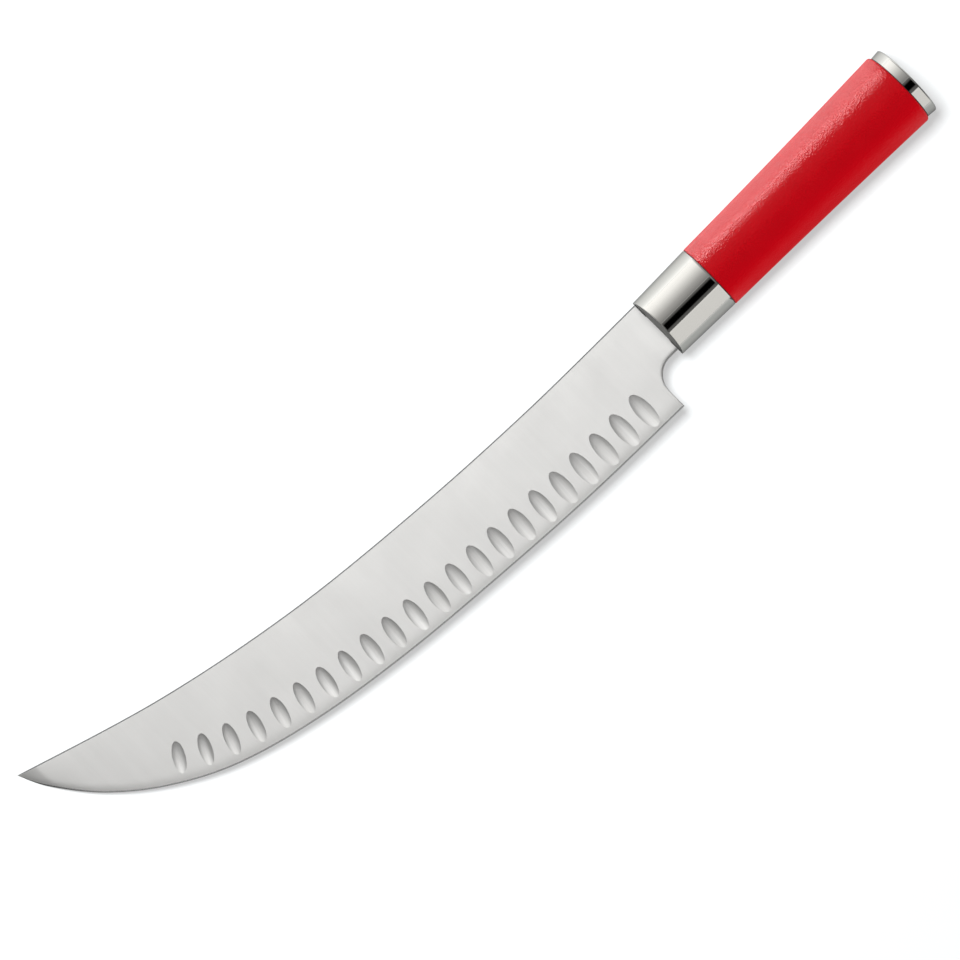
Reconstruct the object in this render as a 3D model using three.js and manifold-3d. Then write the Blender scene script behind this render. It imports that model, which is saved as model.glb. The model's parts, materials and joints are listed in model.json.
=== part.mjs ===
// Butcher's knife with an upswept, scalloped blade and a round clamped handle, in millimetres.
//
// The knife is drawn in its own datum: x runs along the handle axis towards the tip and is 0 where the
// blade meets the collar, y points to the cutting edge, z goes through the blade's thickness.
// The finished knife is then laid down on the rims of its handle and its tip, z up, with the origin under
// the middle of its bounding box.

import * as THREE from 'three';
import { mergeVertices } from 'three/addons/utils/BufferGeometryUtils.js';
import Module from 'manifold-3d';

const wasm = await Module();
wasm.setup();

// Fits
const seatGap = 0.1; // between faces that are clamped together
const slipFit = 0.15; // around pieces that slide into each other
const rivetFit = 0.1; // around a rivet in its hole
const overshoot = 1; // how far a cut runs past the faces that it opens

// Blade outline
const bladeLength = 256.2; // collar to tip, along the handle axis
const spineHeight = 11.0; // spine above the handle axis at the collar
const heelDepth = 24.7; // cutting edge below the handle axis at the heel
const tipRise = 45.15; // tip above the handle axis
const heelSetback = 11.7; // collar to the back of the heel
const neckDepth = 9.75; // underside of the neck below the handle axis
const choilRadius = 7.85; // hollow between neck and heel

// Course of the two long edges: share of the blade's length, share of the way to the tip
const spineCourse = [[0, 0], [0.2, 0.0135], [0.4, 0.095], [0.6, 0.2535], [0.8, 0.551], [1, 1]];
const edgeCourse = [
  [0, 0], [0.2, 0.0115], [0.37, 0.047], [0.53, 0.0985], [0.67, 0.178],
  [0.785, 0.2945], [0.87, 0.455], [0.935, 0.647], [0.98, 0.853], [1, 1],
];

// Blade section
const spineThickness = 2.5; // at the collar
const tipThickness = 1.3; // spine thickness just before the point
const edgeThickness = 0.4; // behind the cutting bevel
const bevelHeight = 0.45;
const spineChamfer = 0.3;
const flankPower = 1.25; // above 1 the flank is crowned towards the edge
const pointLength = 10; // height of blade below which the point thins out

// Scallops, one row on each flank, ground by one crowned wheel
const scallopPitch = 9.28; // along the row
const firstScallop = 10.7; // heel to the first scallop
const bareRow = 50; // row left without scallops before the tip
const scallopInsetHeel = 7.85; // cutting edge to the scallop's middle
const scallopInsetTip = 8.9;
const scallopDepthHeel = 0.3;
const scallopDepthTip = 0.24;
const wheelRadius = 84;
const wheelCrown = 13.4;

// Tang
const tangThickness = spineThickness;
const tangHeight = 12;
const tangShoulder = 14; // length of the full-height stretch, which the bush in the collar holds
const tangTailRelief = 2; // how much lower than the rod's fork its tail is
const tangLength = 46;

// Collar
const collarLength = 24.2;
const collarFrontRadius = 11.85;
const collarRearRadius = 12.4;
const collarWall = 6; // front wall that the tang passes through
const collarBore = 8.6;
const collarBevel = 7; // degrees that each half of the front face falls back
const collarEdge = 0.3; // chamfer on its rims

// Gaskets, set back from the surface beside them
const gasketThickness = 0.2;
const gasketSetback = 0.35;

// Grip
const gripLength = 88.9;
const gripLip = 0.1; // how far the grip stands proud of the collar
const gripRearRadius = 14.35;
const gripSag = 0.22; // how far the flare hangs inside a straight cone
const gripRearRound = 0.9;
const gripFrontRound = 0.25;
const pocketDepth = 15; // pocket for washer, nut and the cap's spigot

// Tie rod
const rodForkRadius = 5;
const forkInset = 4; // front of the grip to the fork's end
const forkWeb = 6; // solid stretch behind the fork's slot
const rodRadius = 4;
const rodTail = 3.5; // rod beyond the nut

// Rivets through fork and tang
const rivetRadius = 1.5;
const rivetMargin = 7; // end of the tang to the rear rivet
const rivetSpacing = 12;

// Washer and nut
const washerPlay = 0.6; // around the washer in its pocket
const washerThickness = 1.6;
const nutFlats = 13;
const nutThickness = 5;
const nutPlay = 1.1; // around the nut's corners inside the cap's spigot

// End cap
const capLength = 3.7;
const capBaseRadius = 13.5;
const capRimRadius = 13.75;
const capRound = 0.6;
const capSpigotWall = 1.4;
const capSpigotLength = 8;

// Fineness of the facets
const roundSides = 48;
const smallSides = 24;
const bladeStations = 40;
const flankRows = 6;
const scallopSides = 16;
const flareSteps = 8;
const rimSteps = 3;
const choilSteps = 10;

// Halvings in the search for the angle at which the knife lies
const rollSteps = 24;

// Places along the handle axis that several pieces share
const collarFront = -seatGap;
const collarRear = collarFront - collarLength;
const collarFloor = collarFront - collarWall;
const frontRim = collarFront - collarFrontRadius * Math.tan(THREE.MathUtils.degToRad(collarBevel));
const bushFront = collarFloor - seatGap;
const bushRear = collarFront - tangShoulder;
const spigotFront = bushRear - seatGap;
const collarGasketFront = collarRear - seatGap;
const gripFront = collarGasketFront - gasketThickness - seatGap;
const gripRear = gripFront - gripLength;
const pocketFloor = gripRear + pocketDepth;
const washerFront = pocketFloor - seatGap;
const nutFront = washerFront - washerThickness - seatGap;
const tangEnd = collarFront - tangLength;
const rodFront = spigotFront - forkInset;
const forkEnd = tangEnd - slipFit;
const rodShoulder = forkEnd - forkWeb;
const rodRear = nutFront - nutThickness - rodTail;
const rivetRear = tangEnd + rivetMargin;
const rivetFront = rivetRear + rivetSpacing;
const capGasketFront = gripRear - seatGap;
const capFront = capGasketFront - gasketThickness - seatGap;
const capRear = capFront - capLength;

// Radii that several pieces share
const gripFrontRadius = collarRearRadius + gripLip;
const nutCorner = nutFlats / Math.sqrt(3);
const capSpigotBore = nutCorner + nutPlay;
const capSpigotRadius = capSpigotBore + capSpigotWall;
const pocketRadius = capSpigotRadius + slipFit;

// Steps from the middle of a wheel cut to past its rim, in degrees
const wheelSteps = [14, 28, 42];
const wheelHeight = 2; // half height of the stretched ball that stands for the wheel

const spine = new THREE.SplineCurve(spineCourse.map(([along, rise]) => new THREE.Vector2(
  along * bladeLength, -spineHeight - rise * (tipRise - spineHeight))));
const cuttingEdge = new THREE.SplineCurve(edgeCourse.map(([along, rise]) => new THREE.Vector2(
  along * bladeLength, heelDepth - rise * (heelDepth + tipRise))));

// Line through the middles of the scallops, set in from the cutting edge
const scallopRow = new THREE.SplineCurve(Array.from({ length: bladeStations + 1 }, (_, i) => {
  const along = i / bladeStations;
  const inset = THREE.MathUtils.lerp(scallopInsetHeel, scallopInsetTip, along);
  const tangent = cuttingEdge.getTangentAt(along);
  return cuttingEdge.getPointAt(along).add(new THREE.Vector2(tangent.y, -tangent.x).multiplyScalar(inset));
}));

// A closed geometry as a solid for cutting and joining
function solid(geometry) {
  const bare = geometry.clone();
  bare.deleteAttribute('normal');
  bare.deleteAttribute('uv');
  const merged = mergeVertices(bare);
  const triangles = [];
  for (let i = 0; i < merged.index.count; i += 3) {
    const [a, b, c] = [0, 1, 2].map((k) => merged.index.getX(i + k));
    if (a !== b && b !== c && c !== a) triangles.push(a, b, c);
  }
  return new wasm.Manifold(new wasm.Mesh({
    numProp: 3,
    vertProperties: merged.attributes.position.array,
    triVerts: new Uint32Array(triangles),
  }));
}

function meshOf(name, body, finish) {
  const { vertProperties, triVerts } = body.getMesh();
  const geometry = new THREE.BufferGeometry();
  geometry.setAttribute('position', new THREE.BufferAttribute(new Float32Array(vertProperties), 3));
  geometry.setIndex(new THREE.BufferAttribute(new Uint32Array(triVerts), 1));
  geometry.computeVertexNormals();
  const mesh = new THREE.Mesh(geometry, new THREE.MeshStandardMaterial(finish));
  mesh.name = name;
  return mesh;
}

// A turned piece: [x, radius] points, the outside running towards the tip, then back along the bore
function turned(profile, sides = roundSides) {
  const points = profile.map(([x, radius]) => new THREE.Vector2(radius, x));
  points.push(points[0].clone());
  return solid(new THREE.LatheGeometry(points, sides).rotateZ(-Math.PI / 2));
}

// A ring with plain faces
function ring(rear, front, outer, inner, sides = roundSides) {
  return turned([[rear, inner], [rear, outer], [front, outer], [front, inner]], sides);
}

// A block between two places on the handle axis, centred on it
function block(rear, front, height, thickness) {
  const box = new THREE.BoxGeometry(front - rear, height, thickness);
  return solid(box.translate((front + rear) / 2, 0, 0));
}

// A round bar through the blade's thickness
function crossBar(x, radius, length) {
  const bar = new THREE.CylinderGeometry(radius, radius, length, smallSides);
  return solid(bar.rotateX(Math.PI / 2).translate(x, 0, 0));
}

// Rounded rear rim of a turned piece, from just off its rear face to its outside
function rearRim(rear, radius, round) {
  const points = [];
  for (let i = 0; i < rimSteps; i++) {
    const angle = i / rimSteps * Math.PI / 2;
    points.push([rear + round * (1 - Math.sin(angle)), radius - round * (1 - Math.cos(angle))]);
  }
  return points.reverse();
}

// How much of the full section is left where the blade runs out into its point
function pointShare(height) {
  return Math.min(1, height / pointLength);
}

// Half thickness of the ground flank: along is the share of the blade's length, down the share of its height
function flankHalf(along, down, x, height) {
  const spineHalf = THREE.MathUtils.lerp(spineThickness, tipThickness, along) / 2;
  const ground = THREE.MathUtils.lerp(spineHalf, edgeThickness / 2, Math.pow(down, flankPower));
  const neck = THREE.MathUtils.smoothstep(x, 0, heelSetback);
  return THREE.MathUtils.lerp(spineHalf, ground, neck) * pointShare(height);
}

// One section of the blade, spine to cutting edge and back up the other flank
function bladeSection(along) {
  const top = spine.getPointAt(along);
  const bottom = cuttingEdge.getPointAt(along);
  const height = top.distanceTo(bottom);
  const chamfer = spineChamfer * pointShare(height);
  const bevel = bevelHeight * pointShare(height);
  const near = [];
  for (let row = 0; row <= flankRows; row++) {
    const depth = THREE.MathUtils.lerp(chamfer, height - bevel, row / flankRows);
    const down = height > 0 ? depth / height : 0;
    const place = top.clone().lerp(bottom, down);
    near.push(new THREE.Vector3(place.x, place.y, flankHalf(along, down, place.x, height)));
  }
  near.unshift(new THREE.Vector3(top.x, top.y, Math.max(near[0].z - chamfer, 0)));
  const far = near.map((point) => new THREE.Vector3(point.x, point.y, -point.z)).reverse();
  return [...near, new THREE.Vector3(bottom.x, bottom.y, 0), ...far];
}

function bladeBlank() {
  const sections = [];
  for (let i = 0; i <= bladeStations; i++) sections.push(bladeSection(i / bladeStations));
  const sides = sections[0].length;
  const index = [];
  for (let i = 0; i < bladeStations; i++) {
    for (let j = 0; j < sides; j++) {
      const next = (j + 1) % sides;
      const [a, b] = [i * sides + j, i * sides + next];
      index.push(a, a + sides, b, b, a + sides, b + sides);
    }
  }
  for (let j = 0; j < sides / 2 - 1; j++) {
    const opposite = sides - 1 - j;
    index.push(j, j + 1, opposite);
    if (j + 1 < opposite - 1) index.push(j + 1, opposite - 1, opposite);
  }
  const geometry = new THREE.BufferGeometry().setFromPoints(sections.flat());
  geometry.setIndex(index);
  return solid(geometry);
}

// What the neck and the hollow in front of the heel leave free under the collar
function choil() {
  const beyond = heelDepth + choilRadius;
  const free = new THREE.Shape();
  free.moveTo(-choilRadius, neckDepth);
  free.lineTo(heelSetback - choilRadius, neckDepth);
  free.absarc(heelSetback - choilRadius, neckDepth + choilRadius, choilRadius, -Math.PI / 2, 0);
  free.lineTo(heelSetback, beyond);
  free.lineTo(-choilRadius, beyond);
  const depth = spineThickness + 2 * overshoot;
  const cut = new THREE.ExtrudeGeometry(free, { depth, bevelEnabled: false, curveSegments: choilSteps });
  return solid(cut.translate(0, 0, -depth / 2));
}

// The bottom of the grinding wheel as a shallow stretched cap, lowest point at the origin, long along y
function wheelCap() {
  const points = [new THREE.Vector2(0, -1)];
  for (const step of wheelSteps) {
    const angle = THREE.MathUtils.degToRad(step);
    points.push(new THREE.Vector2(Math.sin(angle), -Math.cos(angle)));
  }
  points.push(new THREE.Vector2(0, points.at(-1).y));
  const cap = new THREE.LatheGeometry(points, scallopSides).rotateX(Math.PI / 2).translate(0, 0, 1);
  return cap.scale(Math.sqrt(wheelCrown * wheelHeight), Math.sqrt(wheelRadius * wheelHeight), wheelHeight);
}

// One scallop: the wheel set on the flank, square to the row
function scallop(place, side) {
  const along = scallopRow.getUtoTmapping(0, place);
  const middle = scallopRow.getPoint(along);
  const top = spine.getPointAt(along);
  const height = top.distanceTo(cuttingEdge.getPointAt(along));
  const depth = THREE.MathUtils.lerp(scallopDepthHeel, scallopDepthTip, along);
  const inset = THREE.MathUtils.lerp(scallopInsetHeel, scallopInsetTip, along);
  const half = flankHalf(along, 1 - inset / height, middle.x, height);
  const nearerEdge = flankHalf(along, 1 - (inset - 1) / height, middle.x, height);
  const wheel = wheelCap()
    .rotateX(Math.atan(nearerEdge - half))
    .rotateZ(scallopRow.getTangent(along).angle())
    .translate(middle.x, middle.y, half - depth);
  return solid(side > 0 ? wheel : mirrored(wheel));
}

// The same geometry on the other side of the blade, its faces turned outwards again
function mirrored(geometry) {
  geometry.scale(1, 1, -1);
  const index = geometry.index;
  for (let i = 0; i < index.count; i += 3) {
    const first = index.getX(i);
    index.setX(i, index.getX(i + 1));
    index.setX(i + 1, first);
  }
  return geometry;
}

function blade() {
  let body = bladeBlank()
    .subtract(choil())
    .add(block(bushRear, seatGap, tangHeight, tangThickness))
    .add(block(tangEnd, bushRear, 2 * rodForkRadius - tangTailRelief, tangThickness));
  for (const place of [rivetFront, rivetRear]) {
    body = body.subtract(crossBar(place, rivetRadius + rivetFit, tangThickness + 2 * overshoot));
  }
  const rowStart = heelSetback + firstScallop;
  const rowEnd = scallopRow.getLength() - bareRow;
  for (const side of [1, -1]) {
    const stagger = side > 0 ? 0 : scallopPitch / 2;
    for (let place = rowStart; place < rowEnd; place += scallopPitch) {
      body = body.subtract(scallop(place - stagger, side));
    }
  }
  return meshOf('blade', body, { color: 0xc9cbcd, roughness: 0.32, metalness: 1 });
}

// Tang slot through a piece on the handle axis
function tangSlot(rear, front) {
  return block(rear, front, tangHeight + 2 * slipFit, tangThickness + 2 * slipFit);
}

function bolsterCollar() {
  let body = turned([
    [collarRear, collarBore],
    [collarRear, collarRearRadius - collarEdge],
    [collarRear + collarEdge, collarRearRadius],
    [collarFront - collarEdge, collarFrontRadius],
    [collarFront, collarFrontRadius - collarEdge],
    [collarFront, 0],
    [collarFloor, 0],
    [collarFloor, collarBore],
  ]);
  const size = 4 * collarFrontRadius;
  for (const side of [1, -1]) {
    const fallBack = new THREE.BoxGeometry(size, size, size).translate(size / 2, 0, side * size / 2);
    fallBack.rotateY(-side * THREE.MathUtils.degToRad(collarBevel)).translate(collarFront, 0, 0);
    body = body.subtract(solid(fallBack));
  }
  body = body.subtract(tangSlot(collarFloor - overshoot, collarFront + overshoot));
  return meshOf('bolster_collar', body, { color: 0xd4d6d8, roughness: 0.08, metalness: 1 });
}

function tangBush() {
  const body = turned([
    [bushRear, 0], [bushRear, collarBore - slipFit], [bushFront, collarBore - slipFit], [bushFront, 0],
  ]).subtract(tangSlot(bushRear - overshoot, bushFront + overshoot));
  return meshOf('tang_bush', body, { color: 0x2b2b2d, roughness: 0.6, metalness: 0 });
}

function gasket(name, front, outer, inner) {
  const body = ring(front - gasketThickness, front, outer, inner);
  return meshOf(name, body, { color: 0x1c1c1e, roughness: 0.75, metalness: 0 });
}

// Flared outside of the grip, rear to front
function gripFlare() {
  const points = [];
  const rear = gripRear + gripRearRound;
  const front = gripFront - gripFrontRound;
  for (let i = 0; i <= flareSteps; i++) {
    const share = i / flareSteps;
    const cone = THREE.MathUtils.lerp(gripRearRadius, gripFrontRadius, share);
    points.push([THREE.MathUtils.lerp(rear, front, share), cone - 4 * gripSag * share * (1 - share)]);
  }
  return points;
}

function grip() {
  const body = turned([
    [gripRear, pocketRadius],
    [gripRear, gripRearRadius - gripRearRound],
    ...rearRim(gripRear, gripRearRadius, gripRearRound),
    ...gripFlare().slice(1),
    [gripFront, gripFrontRadius - gripFrontRound],
    [gripFront, collarBore - slipFit],
    [spigotFront, collarBore - slipFit],
    [spigotFront, rodForkRadius + slipFit],
    [rodShoulder - slipFit, rodForkRadius + slipFit],
    [rodShoulder - slipFit, rodRadius + slipFit],
    [pocketFloor, rodRadius + slipFit],
    [pocketFloor, pocketRadius],
  ]);
  return meshOf('grip', body, { color: 0xb80f1c, roughness: 0.5, metalness: 0 });
}

function tieRod() {
  let body = turned([
    [rodRear, 0],
    [rodRear, rodRadius],
    [rodShoulder, rodRadius],
    [rodShoulder, rodForkRadius],
    [rodFront, rodForkRadius],
    [rodFront, 0],
  ], smallSides);
  const across = 2 * (rodForkRadius + overshoot);
  body = body.subtract(block(forkEnd, rodFront + overshoot, across, tangThickness + 2 * slipFit));
  for (const place of [rivetFront, rivetRear]) {
    body = body.subtract(crossBar(place, rivetRadius + rivetFit, across));
  }
  return meshOf('tie_rod', body, { color: 0x8f9295, roughness: 0.4, metalness: 1 });
}

function tangRivet(name, place) {
  const length = 2 * Math.sqrt(rodForkRadius ** 2 - rivetRadius ** 2);
  const body = crossBar(place, rivetRadius, length);
  return meshOf(name, body, { color: 0xa7a9ab, roughness: 0.4, metalness: 1 });
}

function rodWasher() {
  const washerRear = washerFront - washerThickness;
  const body = ring(washerRear, washerFront, pocketRadius - washerPlay, rodRadius + slipFit, smallSides);
  return meshOf('rod_washer', body, { color: 0xa7a9ab, roughness: 0.4, metalness: 1 });
}

function rodNut() {
  const hexagon = new THREE.CylinderGeometry(nutCorner, nutCorner, nutThickness, 6);
  const nutRear = nutFront - nutThickness;
  hexagon.rotateZ(Math.PI / 2).translate((nutFront + nutRear) / 2, 0, 0);
  const bore = ring(nutRear - overshoot, nutFront + overshoot, rodRadius + slipFit, 0, smallSides);
  return meshOf('rod_nut', solid(hexagon).subtract(bore), { color: 0xa7a9ab, roughness: 0.4, metalness: 1 });
}

function endCap() {
  const body = turned([
    [capRear, 0],
    [capRear, capRimRadius - capRound],
    ...rearRim(capRear, capRimRadius, capRound),
    [capFront, capBaseRadius],
    [capFront, capSpigotRadius],
    [capFront + capSpigotLength, capSpigotRadius],
    [capFront + capSpigotLength, capSpigotBore],
    [capFront, capSpigotBore],
    [capFront, 0],
  ]);
  return meshOf('end_cap', body, { color: 0xd4d6d8, roughness: 0.08, metalness: 1 });
}

// Nose-down angle that lays the front rim of the collar and the rear rim of the grip on the table
function restPitch() {
  return Math.atan((gripRearRadius - collarFrontRadius) / (frontRim - gripRear - gripRearRound));
}

// Spine-down angle at which the blade's lowest point then reaches the table too
function restRoll(points, pitch) {
  const table = -frontRim * Math.sin(pitch) - collarFrontRadius * Math.cos(pitch);
  const lowest = (roll) => {
    const turn = new THREE.Matrix4().makeRotationFromEuler(new THREE.Euler(roll, pitch, 0, 'YXZ'));
    return new THREE.Box3().setFromBufferAttribute(points.clone().applyMatrix4(turn)).min.z;
  };
  let [clear, under] = [0, Math.PI / 4];
  for (let i = 0; i < rollSteps; i++) {
    const middle = (clear + under) / 2;
    if (lowest(middle) > table) clear = middle;
    else under = middle;
  }
  return clear;
}

const bladeMesh = blade();
const knife = new THREE.Group();
knife.add(
  bladeMesh,
  bolsterCollar(),
  tangBush(),
  gasket('collar_gasket', collarGasketFront, collarRearRadius - gasketSetback, collarBore),
  grip(),
  tieRod(),
  tangRivet('tang_rivet_front', rivetFront),
  tangRivet('tang_rivet_rear', rivetRear),
  rodWasher(),
  rodNut(),
  gasket('cap_gasket', capGasketFront, capBaseRadius - gasketSetback, pocketRadius),
  endCap(),
);

// Lay the knife down and put the origin under the middle of its bounding box
const pitch = restPitch();
knife.rotation.set(restRoll(bladeMesh.geometry.attributes.position, pitch), pitch, 0, 'YXZ');
const box = new THREE.Box3().setFromObject(knife, true);
knife.position.set(-(box.min.x + box.max.x) / 2, -(box.min.y + box.max.y) / 2, -box.min.z);

const part = new THREE.Group();
part.add(knife);

export default part;
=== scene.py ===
import json
import math

import bmesh
import bpy
import numpy as np
from mathutils import Matrix, Quaternion, Vector
from mathutils.geometry import interpolate_bezier


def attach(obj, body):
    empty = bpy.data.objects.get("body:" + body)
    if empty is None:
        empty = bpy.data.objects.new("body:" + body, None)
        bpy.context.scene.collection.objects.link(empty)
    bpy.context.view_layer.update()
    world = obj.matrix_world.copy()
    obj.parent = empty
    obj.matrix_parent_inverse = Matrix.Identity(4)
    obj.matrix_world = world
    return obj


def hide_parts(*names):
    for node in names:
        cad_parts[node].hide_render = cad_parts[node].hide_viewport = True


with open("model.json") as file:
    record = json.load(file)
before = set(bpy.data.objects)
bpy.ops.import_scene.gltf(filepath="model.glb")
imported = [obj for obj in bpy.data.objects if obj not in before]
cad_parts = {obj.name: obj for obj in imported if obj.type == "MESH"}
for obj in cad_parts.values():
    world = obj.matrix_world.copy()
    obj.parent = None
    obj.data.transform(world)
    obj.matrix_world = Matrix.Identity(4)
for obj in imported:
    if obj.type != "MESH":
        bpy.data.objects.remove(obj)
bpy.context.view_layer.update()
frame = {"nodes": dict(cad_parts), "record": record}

# Looks of a butcher's knife: satin scalloped blade, polished collar and end cap, grained red grip.
# Pieces are drawn in millimetres in the knife's own datum: x along the handle axis to the tip, 0 where the
# blade meets the collar, y to the cutting edge, z through the blade. They are then set into the frame.

MM = 0.001

# Blade outline
BLADE_LENGTH = 256.2
SPINE_HEIGHT = 11.0
HEEL_DEPTH = 24.7
TIP_RISE = 45.15
HEEL_SETBACK = 11.7
NECK_DEPTH = 9.75
CHOIL_RADIUS = 7.85

# Course of the two long edges: share of the blade's length, share of the way to the tip
SPINE_COURSE = [(0, 0), (0.2, 0.0135), (0.4, 0.095), (0.6, 0.2535), (0.8, 0.551), (1, 1)]
EDGE_COURSE = [
    (0, 0), (0.2, 0.0115), (0.37, 0.047), (0.53, 0.0985), (0.67, 0.178),
    (0.785, 0.2945), (0.87, 0.455), (0.935, 0.647), (0.98, 0.853), (1, 1),
]

# Blade section
SPINE_THICKNESS = 2.5
TIP_THICKNESS = 1.3
EDGE_THICKNESS = 0.4
BEVEL_HEIGHT = 0.52
SPINE_ROUND = 0.45
CHOIL_ROUND = 1.6  # width of the rounding on neck and hollow, in half thicknesses
CHOIL_DEPTH = 0.2
FLANK_POWER = 1.25
EDGE_SWELL = 0.11  # how much the flank swells above the edge
EDGE_SWELL_REACH = 4.2
POINT_LENGTH = 10

# Scallops
SCALLOP_PITCH = 9.28
FIRST_SCALLOP = 10.7
BARE_ROW = 50
SCALLOP_INSET_HEEL = 7.95
SCALLOP_INSET_TIP = 8.6
SCALLOP_DEPTH_HEEL = 0.3
SCALLOP_DEPTH_TIP = 0.28
WHEEL_RADIUS = 100
WHEEL_CROWN = 15.9
WHEEL_AT_TIP = 0.55  # size of the wheel at the tip, as a share of its size at the collar
WHEEL_HEIGHT = 1.5  # half height of the stretched ball that stands for the wheel
PROBE_HEIGHT = 10  # above the row, from where the flank under a wheel is found

# Tang and its rivet holes
TANG_HEIGHT = 12
TANG_SHARE = 0.98  # of the blade's thickness
TANG_TAIL = 8
TANG_SHOULDER = -14.1
TANG_END = -46.1
RIVET_FRONT = -27.1
RIVET_REAR = -39.1
RIVET_HOLE = 1.6
DRILL_LENGTH = 6

# Collar
COLLAR_FRONT = -0.1
COLLAR_REAR = -24.38
COLLAR_FLOOR = -6.1
COLLAR_FRONT_RADIUS = 11.85
COLLAR_REAR_RADIUS = 12.4
COLLAR_BORE = 8.6
COLLAR_BEVEL = math.radians(6)
COLLAR_ROUND = 0.12
SLOT_HEIGHT = 12.3
SLOT_WIDTH = 2.8

# Gaskets
GASKET_THICKNESS = 0.2
GASKET_SETBACK = 0.35
COLLAR_GASKET_FRONT = -24.4
CAP_GASKET_FRONT = -113.69

# Grip
GRIP_FRONT = -24.62
GRIP_REAR = -113.67
GRIP_FRONT_RADIUS = 12.5
GRIP_REAR_RADIUS = 14.35
GRIP_SAG = 0.22
GRIP_REAR_ROUND = 0.9
GRIP_FRONT_ROUND = 0.25
SPIGOT_FRONT = -14.2
SPIGOT_RADIUS = 8.45
FORK_BORE = 5.15
FORK_BORE_END = -52.4
ROD_BORE = 4.15
POCKET_FLOOR = -98.6
POCKET_RADIUS = 10.15

# End cap
CAP_FRONT = -113.91
CAP_REAR = -117.7
CAP_BASE_RADIUS = 13.5
CAP_RIM_RADIUS = 13.75
CAP_ROUND = 0.6
CAP_SPIGOT_FRONT = -106.0
CAP_SPIGOT_RADIUS = 10.0
CAP_SPIGOT_BORE = 8.6

# Photograph: angle of the handle in it, point of the knife in its middle, width of its field
PHOTO_TURN = math.radians(44.9)
PHOTO_MIDDLE = (77.4, -6.04)
PHOTO_FIELD = 320
CAMERA_DISTANCE = 1750
SENSOR_WIDTH = 36

# Studio
WORLD_FILL = 0.4  # share of the world's light that fills the shadows
TABLE_REACH = 4000
TABLE_PAPER = (0.2, 0.208, 0.211, 1)
TABLE_GLOW = 0.54  # white that the table adds of its own; the steel sees it, graded by place, as a painted reflection
# Grey sheet beside the grip that shows only in reflections, a painted darker reflection
CARD_REFLECTION_GREY = 0.1
CARD_HEIGHT = 0.2
CARD_GAP = 1  # between grip and card
CARD_REACH = 220
CARD_MARGIN = 5  # how much shorter than the grip the card is at each end, beside the grip
CARD_TAPER = 18  # and at its far side
WHITE = (1, 1, 1, 1)

# Fineness of the meshes
FLANK_ROWS = 22
ROUND_STEPS = 4
FOOT_STEPS = 6
NECK_STEPS = 3
CHOIL_STEPS = 14
HEEL_STEPS = 5
ROW_POINTS = 80
EDGE_STATIONS = 190
TURNED_SIDES = 128
FLARE_STEPS = 24
HEEL_FAN = 6  # how far the rows of points lean towards the heel
HEEL_FAN_REACH = 60
HEEL_CORNER = 0.7  # how far the bevel starts from the heel, in half thicknesses
TIP_CROWDING = 0.5  # how much closer the rows stand towards the tip
WHEEL_SIDES = 56
DRILL_SIDES = 48
SUPPORT_SHARES = (0.04, 0.96)
MERGE_DISTANCE = 0.0005
BLADE_CREASE = math.radians(40)
TURNED_CREASE = math.radians(35)


def knife_datum():
    """Matrix from the knife's datum, in millimetres, to the frame, in metres."""
    mounts = {mount["name"]: mount for mount in frame["record"]["mounts"]}
    along = -Vector(mounts["butt_face"]["axis"])
    through = Vector(mounts["grip_hold"]["axis"])
    across = through.cross(along)
    turn = Matrix((along, across, through)).transposed().to_4x4()
    origin = Vector(mounts["butt_face"]["pos_m"]) - along * CAP_REAR * MM
    return Matrix.Translation(origin) @ turn @ Matrix.Scale(MM, 4)


KNIFE = knife_datum()
ORIGIN = KNIFE.to_translation()
TURN = KNIFE.to_3x3().normalized()
ALONG, ACROSS, THROUGH = (TURN.col[axis].copy() for axis in range(3))


# Helpers for meshes

def smooth_through(points, steps=24):
    """Points close together on a smooth curve that passes through the given ones."""
    knots = [Vector(point) for point in points]
    padded = [knots[0], *knots, knots[-1]]
    course = []
    for before, start, end, after in zip(padded, padded[1:], padded[2:], padded[3:]):
        leave = start + (end - before) / 6
        arrive = end - (after - start) / 6
        course += interpolate_bezier(start, leave, arrive, end, steps + 1)[:-1]
    return np.array([*course, knots[-1]])


def smoothstep(value, low, high):
    share = min(1, max(0, (value - low) / (high - low)))
    return share * share * (3 - 2 * share)


def mix(first, second, share):
    return first + (second - first) * share


def lofted(rings, closed):
    """Points and four-sided faces that join closed rings of equally many points, one after the other."""
    sides = len(rings[0])
    points = [point for ring in rings for point in ring]
    faces = []
    for ring in range(len(rings) if closed else len(rings) - 1):
        start, after = ring * sides, (ring + 1) % len(rings) * sides
        for side in range(sides):
            following = (side + 1) % sides
            faces.append((start + side, start + following, after + following, after + side))
    if not closed:
        faces.append(tuple(reversed(range(sides))))
        faces.append(tuple(range(len(points) - sides, len(points))))
    return points, faces


def new_object(name, data):
    """A new object in the scene, at the origin."""
    made = bpy.data.objects.new(name, data)
    bpy.context.scene.collection.objects.link(made)
    return made


def new_piece(name, points, faces):
    """A mesh object at the origin, with its place in its mesh."""
    mesh = bpy.data.meshes.new(name)
    mesh.from_pydata([KNIFE @ Vector(point) for point in points], [], faces)
    return new_object(name, mesh)


def close_mesh(mesh):
    """Merges doubled points, drops faces without area and turns all faces outwards."""
    work = bmesh.new()
    work.from_mesh(mesh)
    bmesh.ops.remove_doubles(work, verts=work.verts, dist=MERGE_DISTANCE * MM)
    bmesh.ops.dissolve_degenerate(work, edges=work.edges, dist=MERGE_DISTANCE * MM)
    bmesh.ops.recalc_face_normals(work, faces=work.faces)
    work.to_mesh(mesh)
    work.free()


def shade_smooth(mesh, crease):
    """Smooth shading, apart from edges sharper than the crease angle or between two finishes."""
    mesh.shade_smooth()
    mesh.set_sharp_from_angle(angle=crease)
    work = bmesh.new()
    work.from_mesh(mesh)
    for edge in work.edges:
        finishes = {face.material_index for face in edge.link_faces}
        if len(finishes) > 1:
            edge.smooth = False
    work.to_mesh(mesh)
    work.free()


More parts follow.
